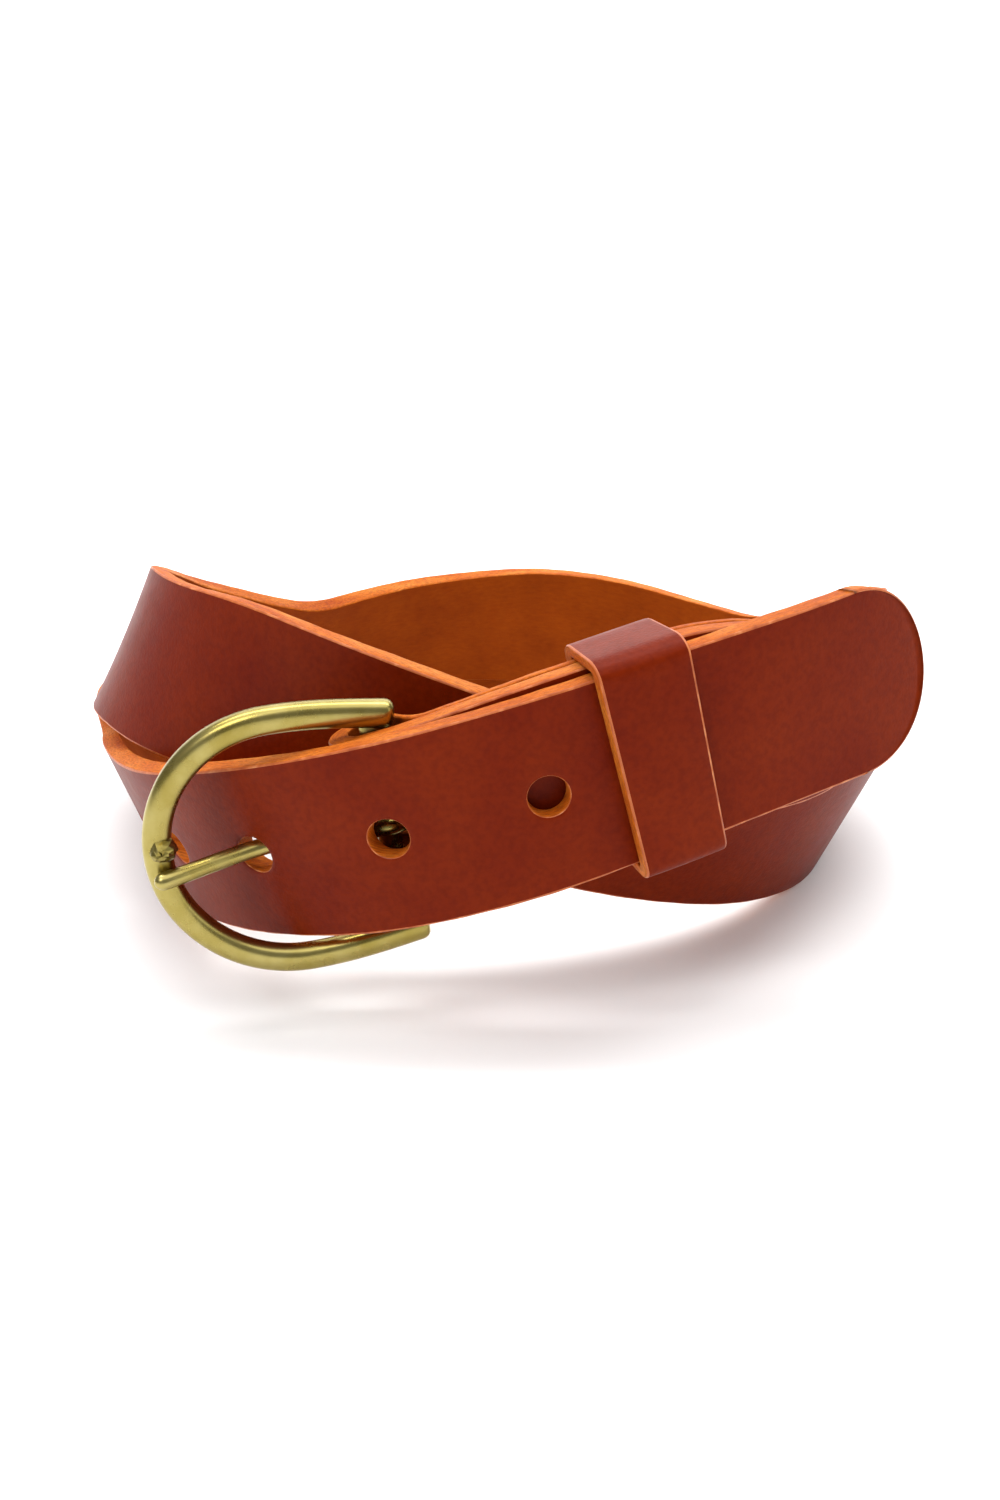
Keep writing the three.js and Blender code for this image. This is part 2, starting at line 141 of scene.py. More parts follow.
# Fineness of the visible meshes
ROW_STEP = 1.4
NOSE_ROWS = 22
INNER_ROWS = 200  # rows past this one are on strands that only pass the bar
COLUMNS = 40
PATCH_COLUMNS = 5
TIP_ARCS = 8
EDGE_STEPS = 4
CORNER_STEPS = 3
CORNER_RADIUS = 0.42
KEEPER_COLUMNS = 13
BAND_SIDES = 36
BAR_SIDES = 24
HALF = STRAP_WIDTH / 2
INSET = HALF - CORNER_RADIUS


# ---- Camera, floor and light ----

CAMERA_ELEVATION = 20
CAMERA_DISTANCE = 298
CAMERA_AIM = (6.0, 0, 19.3)
CAMERA_LENS = 32.75
SENSOR = 36

WORLD_STRENGTH = 0.3
FLOOR_REACH = 2.0  # metres, like the two below
FLOOR_CURVE_START = 0.9
FLOOR_CURVE_RADIUS = 0.6
FLOOR_CURVE_STEPS = 16
PAPER = (0.93, 0.93, 0.93, 1)


def make_camera():
    rise = math.radians(CAMERA_ELEVATION)
    aim = Vector((CAMERA_AIM[0] + COIL_CENTRE[0], CAMERA_AIM[1] + COIL_CENTRE[1], CAMERA_AIM[2]))
    back = Vector((0, -math.cos(rise), math.sin(rise)))
    data = bpy.data.cameras.new("camera")
    data.lens = CAMERA_LENS
    data.sensor_width = SENSOR
    data.clip_start = 0.01
    data.clip_end = 20
    camera = bpy.data.objects.new("camera", data)
    camera.location = (aim + back * CAMERA_DISTANCE) * MM
    camera.rotation_euler = (-back).to_track_quat("-Z", "Y").to_euler()
    bpy.context.collection.objects.link(camera)
    bpy.context.scene.camera = camera


def make_light(name, place, aim, size, power, colour=(1, 1, 1)):
    data = bpy.data.lights.new(name, "AREA")
    data.shape = "RECTANGLE"
    data.size, data.size_y = size
    data.energy = power
    data.color = colour
    light = bpy.data.objects.new(name, data)
    light.location = place
    light.rotation_euler = (Vector(aim) - Vector(place)).to_track_quat("-Z", "Y").to_euler()
    bpy.context.collection.objects.link(light)


def make_lights():
    middle = (0, 0, 0.03)
    make_light("overhead", (0, 0, 1.6), middle, (2.6, 2.6), 34)
    make_light("key", (-0.45, -0.75, 0.8), middle, (0.45, 0.35), 3.2)
    make_light("fill", (0.9, -0.5, 0.35), middle, (0.4, 0.7), 0.9)
    make_light("backdrop", (0, 0.2, 1.3), (0, 1.5, 0.5), (2, 0.6), 34)


def make_world():
    world = bpy.data.worlds.new("studio")
    world.use_nodes = True
    background = world.node_tree.nodes["Background"]
    background.inputs["Color"].default_value = (1, 1, 1, 1)
    background.inputs["Strength"].default_value = WORLD_STRENGTH
    bpy.context.scene.world = world
    bpy.context.scene.view_settings.view_transform = "Standard"


def make_floor():
    """White paper that curves up behind the belt."""
    profile = [(-FLOOR_REACH, 0), (FLOOR_CURVE_START, 0)]
    for i in range(1, FLOOR_CURVE_STEPS + 1):
        angle = i / FLOOR_CURVE_STEPS * math.pi / 2
        back = FLOOR_CURVE_START + FLOOR_CURVE_RADIUS * math.sin(angle)
        profile.append((back, FLOOR_CURVE_RADIUS * (1 - math.cos(angle))))
    profile.append((profile[-1][0], FLOOR_REACH))
    points = [(side * FLOOR_REACH, y, z) for y, z in profile for side in (-1, 1)]
    faces = [(2 * i, 2 * i + 1, 2 * i + 3, 2 * i + 2) for i in range(len(profile) - 1)]
    floor = make_object("floor", points, faces, metres=True)
    material = bpy.data.materials.new("paper")
    material.use_nodes = True
    shader = material.node_tree.nodes["Principled BSDF"]
    shader.inputs["Base Color"].default_value = PAPER
    shader.inputs["Roughness"].default_value = 0.8
    shader.inputs["Specular IOR Level"].default_value = 0.1
    floor.data.materials.append(material)


# ---- Strap space ----


def smooth(x, low, high):
    t = np.clip((np.asarray(x, float) - low) / (high - low), 0, 1)
    return t * t * (3 - 2 * t)


def smoother(x, low, high):
    t = np.clip((np.asarray(x, float) - low) / (high - low), 0, 1)
    return t * t * t * (t * (6 * t - 15) + 10)


def eased(start, changes, turn):
    value = np.full(np.shape(turn), float(start))
    for low, high, amount in changes:
        value = value + amount * smooth(turn, low, high)
    return value


def own_route(turn):
    return np.array([
        eased(START_RADIUS, RADIUS_CHANGES, turn),
        eased(START_HEIGHT, HEIGHT_CHANGES, turn),
        eased(START_LEAN, LEAN_CHANGES, turn),
    ])


def route(turn):
    """Radius, height and lean. The buckled inner strand runs under the outer one."""
    turn = np.asarray(turn, float)
    own = own_route(turn)
    outer = own_route(turn + 720)
    outer[0] -= STRAP_THICKNESS + STRAND_GAP
    outer[1] += eased(-STRAND_DROP, [STRAND_RISE], turn)
    mix = smoother(turn, FOLLOW_END, OWN_START)
    return outer * (1 - mix) + own * mix


def middle(turn):
    radius, height, _ = route(turn)
    angle = np.radians(turn)
    x = COIL_CENTRE[0] + radius * np.cos(angle)
    y = COIL_CENTRE[1] + radius * np.sin(angle)
    return np.stack([x, y, height], -1)


def unit(vectors):
    return vectors / np.linalg.norm(vectors, axis=-1, keepdims=True)


def axes_at(turn):
    """Along the strap, across its width, and out of its grain face."""
    turn = np.asarray(turn, float)
    along = unit(middle(turn + 0.5) - middle(turn - 0.5))
    lean = np.radians(route(turn)[2])
    angle = np.radians(turn)
    across = np.stack([-np.sin(lean) * np.cos(angle), -np.sin(lean) * np.sin(angle), np.cos(lean)], -1)
    across = unit(across - along * np.sum(across * along, -1, keepdims=True))
    return along, across, np.cross(along, across)


TURNS = np.arange(FIRST_TURN, math.ceil(TIP_TURN) + 6.0)
STEPS = np.linalg.norm(np.diff(middle(TURNS), axis=0), axis=1)
LENGTHS = np.concatenate([[0], np.cumsum(STEPS)])


def length_at(turn):
    return float(np.interp(turn, TURNS, LENGTHS))


def place(length, across, out):
    """Points of the strap's own space, in millimetres."""
    length, across, out = np.broadcast_arrays(*(np.asarray(a, float) for a in (length, across, out)))
    turn = np.interp(length, LENGTHS, TURNS)
    _, w, n = axes_at(turn)
    return middle(turn) + w * across[..., None] + n * out[..., None]


PRONG_HOLE = length_at(PRONG_HOLE_TURN)
BAR_OUTER = PRONG_HOLE + HOLE_PITCH - BAR_BEFORE_HOLE_TWO
BAR_INNER = length_at(float(np.interp(BAR_OUTER, LENGTHS, TURNS)) - 720)
STRAP_END = length_at(TIP_TURN)
BAR_BEHIND = STRAP_THICKNESS / 2 + NOSE_RADIUS
BAR_ALONG, BAR_ACROSS, BAR_OUT = axes_at(np.interp(BAR_INNER, LENGTHS, TURNS))
BAR_CENTRE = place(BAR_INNER, -FRAME_DROP, -BAR_BEHIND)
NOSE_CENTRE = place(BAR_INNER, 0, -BAR_BEHIND)


# ---- Mesh building ----


def make_object(name, points, faces, slots=None, uvs=None, metres=False, flat=False):
    mesh = bpy.data.meshes.new(name)
    scale = 1 if metres else MM
    mesh.from_pydata([tuple(float(c) * scale for c in p) for p in points], [], faces)
    if slots is not None:
        mesh.polygons.foreach_set("material_index", slots)
    if uvs is not None:
        layer = mesh.uv_layers.new(name="along")
        corners = np.zeros(len(mesh.loops), int)
        mesh.loops.foreach_get("vertex_index", corners)
        layer.data.foreach_set("uv", (np.asarray(uvs)[corners] * MM).astype(np.float32).ravel())
    mesh.polygons.foreach_set("use_smooth", [not flat] * len(mesh.polygons))
    mesh.validate()
    mesh.update()
    thing = bpy.data.objects.new(name, mesh)
    bpy.context.collection.objects.link(thing)
    return thing


class Builder:
    """Collects points, faces, materials and the two lengths that a texture follows."""

    def __init__(self):
        self.points, self.faces, self.slots, self.uvs = [], [], [], []

    def add(self, points, uvs):
        start = len(self.points)
        self.points.extend(np.asarray(points).reshape(-1, 3).tolist())
        self.uvs.extend(np.asarray(uvs).reshape(-1, 2).tolist())
        return np.arange(start, len(self.points)).reshape(np.shape(points)[:-1])

    def face(self, corners, slot):
        kept = [c for i, c in enumerate(corners) if c != corners[i - 1]]
        if len(kept) > 2:
            self.faces.append([int(c) for c in kept])
            self.slots.append(slot)

    def grid(self, ids, slot, skip=()):
        """Quads over a grid of point numbers; slot is one number or one for each column."""
        for i in range(ids.shape[0] - 1):
            for j in range(ids.shape[1] - 1):
                if (i, j) in skip:
                    continue
                which = slot[j] if isinstance(slot, list) else slot
                self.face([ids[i, j], ids[i, j + 1], ids[i + 1, j + 1], ids[i + 1, j]], which)

    def make(self, name):
        return make_object(name, self.points, self.faces, self.slots, self.uvs)


# Slots. CORNER_HIGHLIGHT is the grain-side rounded corner of a cut edge or hole lip; its lighter colour
# is a painted highlight
GRAIN, FLESH, EDGE, CORNER_HIGHLIGHT = range(4)


def edge_profile(thickness):
    """Round-cornered cut edge, from grain to flesh: (outwards from the inset line, depth)."""
    radius = min(CORNER_RADIUS, thickness / 2.5)
    points = []
    for i in range(CORNER_STEPS + 1):
        angle = i / CORNER_STEPS * math.pi / 2
        points.append((radius * math.sin(angle), radius * (1 - math.cos(angle))))
    for i in range(1, EDGE_STEPS):
        points.append((radius, radius + (thickness - 2 * radius) * i / EDGE_STEPS))
    for i in range(CORNER_STEPS + 1):
        angle = i / CORNER_STEPS * math.pi / 2
        points.append((radius * math.cos(angle), thickness - radius * (1 - math.sin(angle))))
    return points


def edge_slots():
    # The grain-side corner faces take CORNER_HIGHLIGHT, the painted highlight colour
    return [CORNER_HIGHLIGHT] * (CORNER_STEPS - 1) + [EDGE] * (EDGE_STEPS + CORNER_STEPS) + [FLESH]


# Column j of the grain face lies opposite column BACK - j, on the flesh face.
BACK = 2 * COLUMNS + len(edge_profile(STRAP_THICKNESS)) - 1


# ---- Strap ----


def uneven(length, side):
    """How far a hand-cut edge wanders from its line."""
    phase = 1.7 * side
    return 0.05 * np.sin(length * 0.21 + phase) + 0.03 * np.sin(length * 0.83 + 2 * phase)


def column_places():
    angles = np.radians(np.linspace(-90, 90, COLUMNS + 1))
    return INSET * np.sin(angles)


def skew(from_bar, across):
    fade = 1 - smooth(np.abs(from_bar), 0, SKEW_REACH)
    return across * math.tan(math.radians(FOLD_SKEW)) * fade


def fold_row(from_bar):
    near = -(STRAP_THICKNESS / 2 + LAYER_GAP)
    far = -(STRAP_THICKNESS / 2 + 2 * NOSE_RADIUS)
    face = far + (near - far) * float(smoother(from_bar, *FOLD_EASE))

    def point(v, depth):
        return place(BAR_INNER + from_bar + skew(from_bar, v), v, face - FOLD_THICKNESS + depth)

    return -from_bar, FOLD_THICKNESS, point


def nose_row(share):
    angle = math.radians(270 - 180 * share)
    thickness = FOLD_THICKNESS + (STRAP_THICKNESS - FOLD_THICKNESS) * math.sin(share * math.pi / 2)

    def point(v, depth):
        v, depth = np.broadcast_arrays(np.asarray(v, float), np.asarray(depth, float))
        reach = (NOSE_RADIUS + thickness - depth)[..., None]
        slide = (skew(0, v))[..., None]
        round_bar = reach * (BAR_ALONG * math.cos(angle) + BAR_OUT * math.sin(angle))
        return NOSE_CENTRE + BAR_ACROSS * v[..., None] + BAR_ALONG * slide + round_bar

    return share * math.pi * NOSE_RADIUS, thickness, point


def body_row(length):
    def point(v, depth):
        return place(length + skew(length - BAR_INNER, v), v, STRAP_THICKNESS / 2 - depth)

    return length - BAR_INNER + math.pi * NOSE_RADIUS, STRAP_THICKNESS, point


def hole_centres():
    return [PRONG_HOLE + i * HOLE_PITCH for i in range(-HOLES_EACH_SIDE, HOLES_EACH_SIDE + 1)]


def row_lengths():
    """Places of the body's rows, with a square of even rows about each hole."""
    square = column_places()[COLUMNS // 2 + PATCH_COLUMNS]
    marks = [BAR_INNER + 2]
    for centre in hole_centres():
        marks += [centre - square, centre + square]
    marks.append(STRAP_END - TIP_LENGTH)
    lengths = []
    for i, (low, high) in enumerate(zip(marks, marks[1:])):
        count = 2 * PATCH_COLUMNS if i % 2 else max(1, round((high - low) / ROW_STEP))
        lengths += list(np.linspace(low, high, count, endpoint=False))
    return lengths + [marks[-1]]


def sink(points):
    """The lower edge stands flat on the table where it reaches it."""
    points[..., 2] = np.maximum(points[..., 2], 0)
    return points


def section(row):
    """One ring of the strap: grain face, one cut edge, flesh face, the other cut edge."""
    travel, thickness, point = row
    v = column_places()
    profile = edge_profile(thickness)
    outs = np.array([p[0] for p in profile])
    depths = np.array([p[1] for p in profile])
    trim = [uneven(travel, side) for side in (-1, 1)]
    vs = np.concatenate([v, INSET + trim[1] + outs[1:-1], v[::-1], -(INSET + trim[0] + outs[1:-1])[::-1]])
    flesh = np.full(len(v), thickness)
    ds = np.concatenate([np.zeros(len(v)), depths[1:-1], flesh, depths[1:-1][::-1]])
    across = np.concatenate([v, INSET + depths[1:-1], v[::-1], -(INSET + depths[1:-1])[::-1]])
    return sink(point(vs, ds)), np.stack([np.full(len(vs), travel), across], -1)


def ring_slots():
    sides = edge_slots()
    return [GRAIN] * COLUMNS + sides + [FLESH] * COLUMNS + sides[::-1]


def ring_columns(ids):
    return np.concatenate([ids, ids[:, :1]], axis=1)


# Rings of a punched hole: (depth below the grain face, how much wider than the hole)
HOLE_LIP = [(0, 1.7), (0.02, 0.8), (0.07, 0.4), (0.14, 0.17), (0.3, 0.05), (0.6, 0)]
HOLE_BACK = 0.4
HOLE_BACK_LIP = [(0.1, 0.1), (0, 0.4), (0, 1.6)]  # depth from the flesh face


def hole_patch(build, ids, row, centre, stretch):
    """Fills the square left about a hole with rings that turn from the square into the hole."""
    span = 2 * PATCH_COLUMNS
    left = COLUMNS // 2 - PATCH_COLUMNS
    rim = []
    for j in range(span):
        rim.append((row, left + j))
    for i in range(span):
        rim.append((row + i, left + span))
    for j in range(span):
        rim.append((row + span, left + span - j))
    for i in range(span):
        rim.append((row + span - i, left))
    square = column_places()[left + span]
    front_ids = [ids[i, j] for i, j in rim]
    back_ids = [ids[i, BACK - j] for i, j in rim]
    at = np.array([((i - row) / PATCH_COLUMNS - 1, column_places()[j] / square) for i, j in rim]) * square
    way = at / np.linalg.norm(at, axis=1, keepdims=True)
    wall = [(d, 0) for d in np.linspace(HOLE_LIP[-1][0], STRAP_THICKNESS - HOLE_BACK, 6)[1:]]
    back_lip = [(STRAP_THICKNESS - depth, grow) for depth, grow in HOLE_BACK_LIP]
    steps = HOLE_LIP + wall + back_lip
    # The lip's rounded corner takes CORNER_HIGHLIGHT, the painted highlight colour
    slots = [GRAIN, GRAIN, GRAIN, CORNER_HIGHLIGHT, EDGE] + [EDGE] * len(wall) + [EDGE, FLESH, FLESH]
    previous = np.array(front_ids)
    for k, (depth, grow) in enumerate(steps):
        spot = way * (HOLE_RADIUS + grow)
        shift = np.where(way[:, 0] < 0, -stretch * way[:, 0] ** 2, 0)
        length = centre + spot[:, 0] + shift
        v = spot[:, 1]
        ring = build.add(
            place(length, v, STRAP_THICKNESS / 2 - depth),
            np.stack([length - BAR_INNER + math.pi * NOSE_RADIUS, v + depth], -1),
        )
        slot = GRAIN if k == 0 else slots[k - 1]
        for m in range(len(ring)):
            n = (m + 1) % len(ring)
            build.face([previous[m], previous[n], ring[n], ring[m]], slot)
        previous = ring
    for m in range(len(previous)):
        n = (m + 1) % len(previous)
        build.face([previous[m], previous[n], back_ids[n], back_ids[m]], FLESH)


def strap_tip(build, last):
    """The rounded free end: faces of nested arcs, and the cut edge swept round the outline."""
    angles = np.radians(np.linspace(-90, 90, COLUMNS + 1))
    start = STRAP_END - TIP_LENGTH
    reach = TIP_LENGTH - CORNER_RADIUS
    profile = edge_profile(STRAP_THICKNESS)
    count = len(profile)
    side = count - 2
    front = last[: COLUMNS + 1]
    back = last[COLUMNS + 1 + side: 2 * (COLUMNS + 1) + side][::-1]
    upper = last[COLUMNS + 1: COLUMNS + 1 + side]
    lower = last[2 * (COLUMNS + 1) + side:][::-1]
    base = start - BAR_INNER + math.pi * NOSE_RADIUS
    faces = []
    for depth, first, slot in ((0, front, GRAIN), (STRAP_THICKNESS, back, FLESH)):
        rows = [first]
        for k in range(1, TIP_ARCS + 1):
            length = reach * k / TIP_ARCS * np.cos(angles[1:-1])
            v = INSET * np.sin(angles[1:-1])
            ids = build.add(
                place(start + length, v, STRAP_THICKNESS / 2 - depth),
                np.stack([base + length, v], -1),
            )
            rows.append(np.concatenate([first[:1], ids, first[-1:]]))
        build.grid(np.array(rows), slot)
        faces.append(rows[-1])
    columns = [np.concatenate([faces[0][:1], lower, faces[1][:1]])]
    for j in range(1, COLUMNS):
        length = np.array([(reach + out) * math.cos(angles[j]) for out, _ in profile[1:-1]])
        v = np.array([(INSET + out) * math.sin(angles[j]) for out, _ in profile[1:-1]])
        depth = np.array([d for _, d in profile[1:-1]])
        travel = base + (angles[j] + math.pi / 2) * reach
        ids = build.add(
            place(start + length, v, STRAP_THICKNESS / 2 - depth),
            np.stack([np.full(len(v), travel), INSET + depth], -1),
        )
        columns.append(np.concatenate([faces[0][j:j + 1], ids, faces[1][j:j + 1]]))
    columns.append(np.concatenate([faces[0][-1:], upper, faces[1][-1:]]))
    build.grid(np.array(columns), edge_slots())


def make_strap():
    build = Builder()
    rows = [fold_row(s) for s in np.arange(FOLD_LENGTH, 0.5, -ROW_STEP)]
    rows += [nose_row(share) for share in np.linspace(0, 1, NOSE_ROWS)]
    nose_end = len(rows)
    lengths = row_lengths()
    rows += [body_row(length) for length in lengths]
    rings = [section(row) for row in rows]
    ids = build.add([ring[0] for ring in rings], [ring[1] for ring in rings])
    skip = set()
    patches = []
    for centre in hole_centres():
        square = column_places()[COLUMNS // 2 + PATCH_COLUMNS]
        first = int(np.argmin(np.abs(np.array(lengths) - (centre - square)))) + nose_end
        patches.append((first, centre))
        for i in range(first, first + 2 * PATCH_COLUMNS):
            for j in range(COLUMNS // 2 - PATCH_COLUMNS, COLUMNS // 2 + PATCH_COLUMNS):
                skip |= {(i, j), (i, BACK - j - 1)}
    slot_rows = slot_range(rows)
    low, high = COLUMNS // 2 - SLOT_HALF_COLUMNS, COLUMNS // 2 + SLOT_HALF_COLUMNS
    for i in range(slot_rows[0], slot_rows[1]):
        for j in range(low, high):
            skip |= {(i, j), (i, BACK - j - 1)}
    build.grid(ring_columns(ids), ring_slots(), skip)
    slot_walls(build, ids, slot_rows, low, high)
    build.face(list(ids[0][::-1]), EDGE)
    for first, centre in patches:
        stretch = PRONG_HOLE_STRETCH if abs(centre - PRONG_HOLE) < 1 else 0
        hole_patch(build, ids, first, centre, stretch)
    strap_tip(build, ids[-1])
    strap = build.make("belt_strap")
    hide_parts("strap")
    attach(strap, "belt")
    return strap


def slot_range(rows):
    """Rows between which the slot for the prong's eye is open, over the nose of the fold."""
    farthest = SLOT_REACH + NOSE_RADIUS + STRAP_THICKNESS
    spots = []
    for i, (_, _, point) in enumerate(rows[:INNER_ROWS]):
        offset = point(np.array([0.0]), np.array([0.0]))[0] - NOSE_CENTRE
        near = abs(float(offset @ BAR_ALONG)) < SLOT_REACH
        if near and np.linalg.norm(offset) < farthest:
            spots.append(i)
    return spots[0], spots[-1]


def slot_walls(build, ids, span, low, high):
    first, last = span
    for i in range(first, last):
        for j, order in ((low, 1), (high, -1)):
            corners = [ids[i, j], ids[i, BACK - j], ids[i + 1, BACK - j], ids[i + 1, j]]
            build.face(corners[::order], EDGE)
    for j in range(low, high):
        for i, order in ((first, -1), (last, 1)):
            corners = [ids[i, j], ids[i, BACK - j], ids[i, BACK - j - 1], ids[i, j + 1]]
            build.face(corners[::order], EDGE)


# ---- Swept bands and rods ----


def sweep(build, rings, slots, closed=False, travel=None):
    """Skin over rings of points; slots has one number for each face round a ring."""
    rings = np.asarray(rings)
    travel = np.arange(len(rings)) * 1.0 if travel is None else np.asarray(travel)
    around = np.concatenate([[0], np.cumsum(np.linalg.norm(np.diff(rings[0], axis=0), axis=1))])
    uvs = np.stack(np.broadcast_arrays(travel[:, None], around[None, :]), -1)
    ids = build.add(rings, uvs)
    loop = np.concatenate([ids, ids[:, :1]], axis=1)
    if closed:
        loop = np.concatenate([loop, loop[:1]], axis=0)
    build.grid(loop, slots)
    if not closed:
        build.face(list(ids[0][::-1]), slots[0])
        build.face(list(ids[-1]), slots[0])


def rounded_oval(width, depth, power, sides):
    angles = np.linspace(0, 2 * math.pi, sides, endpoint=False)
    c, s = np.cos(angles), np.sin(angles)
    across = np.sign(c) * np.abs(c) ** (2 / power) * width / 2
    out = np.sign(s) * np.abs(s) ** (2 / power) * depth / 2
    return across, out


def turned_frame_axes():
    tilt, swing = math.radians(FRAME_TILT), math.radians(FRAME_SWING)
    far = -BAR_ALONG * math.cos(tilt) + BAR_ACROSS * math.sin(tilt)
    up = BAR_ACROSS * math.cos(tilt) + BAR_ALONG * math.sin(tilt)
    out = BAR_OUT
    return (
        far * math.cos(swing) + out * math.sin(swing),
        up,
        out * math.cos(swing) - far * math.sin(swing),
    )


FAR, UP, OUT = turned_frame_axes()


def frame_point(far, up, out):
    far, up, out = np.broadcast_arrays(*(np.asarray(a, float) for a in (far, up, out)))
    return (
        BAR_CENTRE
        + FAR * far[..., None]
        + UP * up[..., None]
        + OUT * (out + BAR_SET_BACK)[..., None]
    )


def horseshoe(start, arm_steps=14, bow_steps=72):
    """Middle line of the frame in its own plane, from the upper arm round to the lower one."""
    share = np.arange(arm_steps) / arm_steps
    arm = np.stack([
        start + (FRAME_SHOULDER - start) * share,
        FRAME_HEEL + (FRAME_WIDEST - FRAME_HEEL) * np.sin(share * math.pi / 2),
    ], -1)
    angle = np.linspace(0, math.pi, bow_steps + 1)
    bow = np.stack([
        FRAME_SHOULDER + (FRAME_REACH - FRAME_SHOULDER) * np.sin(angle),
        FRAME_WIDEST * np.cos(angle),
    ], -1)
    return np.concatenate([arm, bow, arm[::-1] * (1, -1)])


BAND_POWER = 2.4  # 2 would be an ellipse
CAP_ANGLES = (72, 50, 30, 12, 3)
CAP_POWER = 0.55


def make_buckle_frame():
    build = Builder()
    line = horseshoe(ARM_CAP - ARM_OVERHANG)
    ahead = unit(np.gradient(line, axis=0))
    side = np.stack([ahead[:, 1], -ahead[:, 0]], -1)
    across, out = rounded_oval(FRAME_BAND, FRAME_DEPTH, BAND_POWER, BAND_SIDES)
    rings = [(line[i], side[i], 1.0) for i in range(len(line))]
    for angle in CAP_ANGLES:
        reach = ARM_CAP * math.cos(math.radians(angle))
        grow = math.sin(math.radians(angle)) ** CAP_POWER
        rings.insert(0, (line[0] - ahead[0] * reach, side[0], grow))
        rings.append((line[-1] + ahead[-1] * reach, side[-1], grow))
    skins = []
    for centre, sideways, grow in rings:
        a = centre[0] + sideways[0] * across * grow
        b = centre[1] + sideways[1] * across * grow
        skins.append(frame_point(a, b, out * grow))
    sweep(build, skins, [0] * len(across))
    bar_across, bar_out = rounded_oval(BAR_DIAMETER, BAR_DIAMETER, 2, BAR_SIDES)
    ends = np.linspace(-FRAME_HEEL, FRAME_HEEL, 12)
    bar = [frame_point(bar_across, b, bar_out - BAR_SET_BACK) for b in ends]
    sweep(build, bar, [0] * len(bar_across))
    frame_piece = build.make("buckle")
    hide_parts("buckle_frame")
    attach(frame_piece, "buckle")
    return frame_piece


NUB_RINGS = 7
NUB_SIDES = 11
NUB_SMALLEST = 0.86
NUB_ROUGHNESS = 0.24
NUB_HEIGHT = 0.85


def make_nub():
    """The rough stub that casting left on the far bar."""
    rng = np.random.default_rng(4)
    points, faces = [], []
    for i in range(NUB_RINGS + 1):
        polar = math.pi * i / NUB_RINGS
        for j in range(NUB_SIDES):
            turn = 2 * math.pi * j / NUB_SIDES
            grow = NUB_RADIUS * (NUB_SMALLEST + NUB_ROUGHNESS * rng.random())
            a = NUB_PLACE[0] + grow * math.sin(polar) * math.cos(turn)
            b = NUB_PLACE[1] + grow * math.sin(polar) * math.sin(turn) * NUB_HEIGHT
            points.append(frame_point(a, b, NUB_PLACE[2] + grow * math.cos(polar)))
    for i in range(NUB_RINGS):
        near, far = i * NUB_SIDES, (i + 1) * NUB_SIDES
        for j in range(NUB_SIDES):
            k = (j + 1) % NUB_SIDES
            faces.append((near + j, far + j, far + k, near + k))
    nub = make_object("casting_stub", points, faces, flat=True)
    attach(nub, "buckle")
    return nub


def prong_points():
    """From the open end of the eye, round the bar, out through the hole and onto the frame."""
    eye = BAR_DIAMETER / 2 + EYE_CLEARANCE + PRONG_DIAMETER / 2
    centre = BAR_CENTRE + UP * FRAME_DROP
    hole = place(PRONG_HOLE + PRONG_ENTRY[0], PRONG_ENTRY[1], PRONG_ENTRY[2])
    towards = hole - centre
    towards = unit(towards - UP * (UP @ towards))
    lift = np.cross(UP, towards)
    points = []
    for angle in range(-170, 91, 20):
        turn = math.radians(angle)
        points.append(centre - towards * math.cos(turn) * eye + lift * math.sin(turn) * eye)
    top = centre + lift * eye
    rest = FRAME_DEPTH / 2 + PRONG_DIAMETER / 2 + PRONG_REST
    tip = frame_point(FRAME_REACH + PRONG_OVERHANG, -PRONG_DROP, rest)
    return np.array(points + [hole + (top - hole) * 0.45, hole, tip])


def through(points, steps=14):
    """Smooth curve through points, spaced by the root of their distance so that it never loops."""
    padded = np.concatenate([[2 * points[0] - points[1]], points, [2 * points[-1] - points[-2]]])
    curve = []
    for p0, p1, p2, p3 in zip(padded, padded[1:], padded[2:], padded[3:]):
        t0 = 0.0
        t1 = t0 + np.linalg.norm(p1 - p0) ** 0.5
        t2 = t1 + np.linalg.norm(p2 - p1) ** 0.5
        t3 = t2 + np.linalg.norm(p3 - p2) ** 0.5
        for t in np.linspace(t1, t2, steps, endpoint=False):
            a1 = (t1 - t) / (t1 - t0) * p0 + (t - t0) / (t1 - t0) * p1
            a2 = (t2 - t) / (t2 - t1) * p1 + (t - t1) / (t2 - t1) * p2
            a3 = (t3 - t) / (t3 - t2) * p2 + (t - t2) / (t3 - t2) * p3
            b1 = (t2 - t) / (t2 - t0) * a1 + (t - t0) / (t2 - t0) * a2
            b2 = (t3 - t) / (t3 - t1) * a2 + (t - t1) / (t3 - t1) * a3
            curve.append((t2 - t) / (t2 - t1) * b1 + (t - t1) / (t2 - t1) * b2)
    curve.append(points[-1])
    return np.array(curve)


END_ANGLES = (20, 40, 60, 75, 86)


def round_end(centre, way, side, other, radius, reach):
    """Rings that close a rod with a rounded end, from the rod outwards."""
    turn = np.linspace(0, 2 * math.pi, PRONG_SIDES, endpoint=False)[:, None]
    rings = []
    for angle in np.radians(END_ANGLES):
        ring = np.cos(turn) * side + np.sin(turn) * other
        rings.append(centre + way * reach * math.sin(angle) + ring * radius * math.cos(angle))
    return rings


